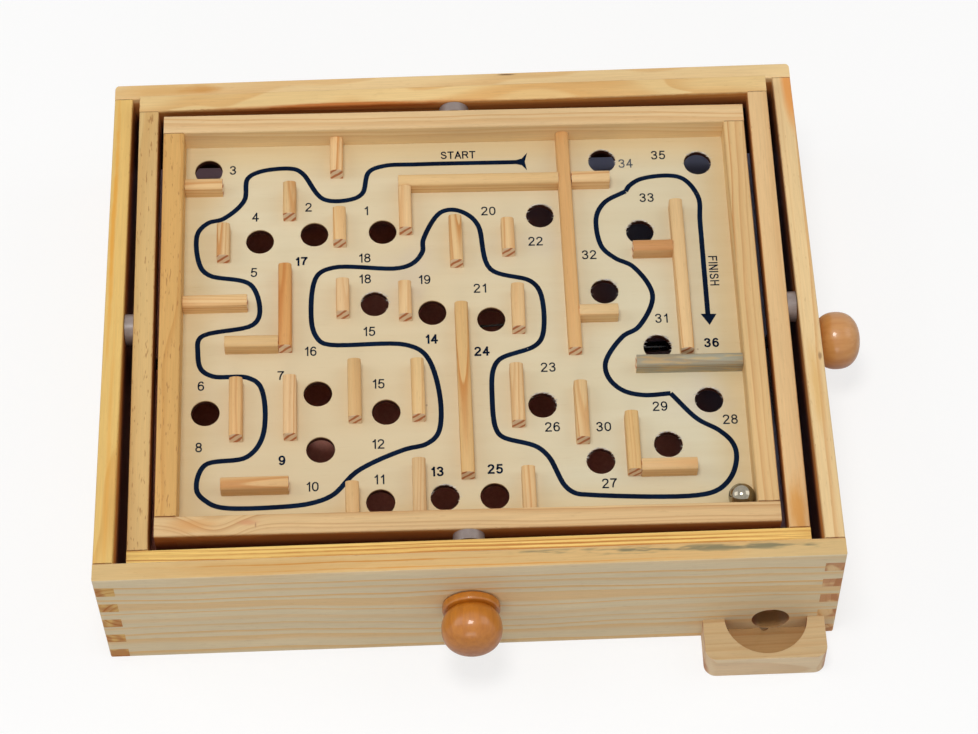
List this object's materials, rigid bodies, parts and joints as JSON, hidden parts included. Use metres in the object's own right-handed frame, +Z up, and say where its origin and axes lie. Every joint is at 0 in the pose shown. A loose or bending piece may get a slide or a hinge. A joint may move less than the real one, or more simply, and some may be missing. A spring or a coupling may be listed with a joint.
{
  "type": "hand balance board",
  "caption": "Tilting maze in a finger-jointed wooden box: two nested frames, knobs that tip them by cords, a holed board with glued strips and a rolling steel ball",
  "frame": {"origin": "middle of the underside of the box, on the surface it stands on", "axes": "+Z up, -Y towards the player (front knob and catch tray), +X to the side knob"},
  "size_m": [0.3217, 0.2737, 0.0724],
  "materials": {
    "case_pine": "satin",
    "hardboard": "smooth",
    "frame_pine": "satin",
    "board_pine": "satin",
    "birch_ply": "smooth, printed",
    "strip_pine": "satin",
    "rod_steel": "gloss black",
    "knob_varnish": "gloss varnish",
    "steel": "satin",
    "ball_steel": "mirror polished",
    "nylon": "matt",
    "brass": "satin",
    "cord": "twisted"
  },
  "bodies": {
    "case": {"front_wall": "case_pine", "back_wall": "case_pine", "left_wall": "case_pine", "right_wall": "case_pine", "base_panel": "hardboard", "base_nails": "steel", "ball_floor": "hardboard", "floor_bearers": "case_pine", "guide_block": "case_pine", "catch_tray": "case_pine"},
    "middle_frame": {"frame_front_rail": "frame_pine", "frame_back_rail": "frame_pine", "frame_left_rail": "frame_pine", "frame_right_rail": "frame_pine", "side_pivot_pins": "steel", "side_pivot_discs": "nylon", "frame_screw_eyes": "brass", "side_cord": "cord", "side_spring": "steel"},
    "maze_board": {"maze_panel": "birch_ply", "board_front_rail": "board_pine", "board_back_rail": "board_pine", "board_left_rail": "board_pine", "board_right_rail": "board_pine", "long_strips": "strip_pine", "cross_strips": "strip_pine", "end_pivot_pins": "steel", "end_pivot_discs": "nylon", "board_screw_eyes": "brass", "front_cord": "cord", "front_spring": "steel"},
    "front_knob": {"front_knob": "knob_varnish", "front_rod": "rod_steel", "front_stop_ring": "nylon"},
    "side_knob": {"side_knob": "knob_varnish", "side_rod": "rod_steel", "side_stop_ring": "nylon"},
    "ball": {"steel_ball": "ball_steel"}
  },
  "joints": [
    {"name": "frame_tilt", "type": "hinge", "parent": "case", "child": "middle_frame", "pos_m": [0, 0, 0.0555], "axis": [1, 0, 0], "range_deg": [-9.4, 0.6], "deforming": ["side_cord", "side_spring"]},
    {"name": "board_tilt", "type": "hinge", "parent": "middle_frame", "child": "maze_board", "pos_m": [0, 0, 0.0555], "axis": [0, 0.9971, 0.0767], "range_deg": [-6.2, 3.8], "deforming": ["front_cord", "front_spring"]},
    {"name": "side_knob_turn", "type": "hinge", "parent": "case", "child": "side_knob", "pos_m": [0.15, 0, 0.0285], "axis": [1, 0, 0], "range_deg": [-89, 6]},
    {"name": "front_knob_turn", "type": "hinge", "parent": "case", "child": "front_knob", "pos_m": [0, -0.126, 0.0345], "axis": [0, 1, 0], "range_deg": [-48, 30]},
    {"name": "ball_roll", "type": "slide", "parent": "maze_board", "child": "ball", "axis": [-0.9998, -0.0016, 0.0209], "range_m": [0, 0.075]}
  ],
  "couplings": [
    {"joint": "side_knob_turn", "follows": "frame_tilt", "ratio": 9.4},
    {"joint": "front_knob_turn", "follows": "board_tilt", "ratio": 7.64}
  ]
}
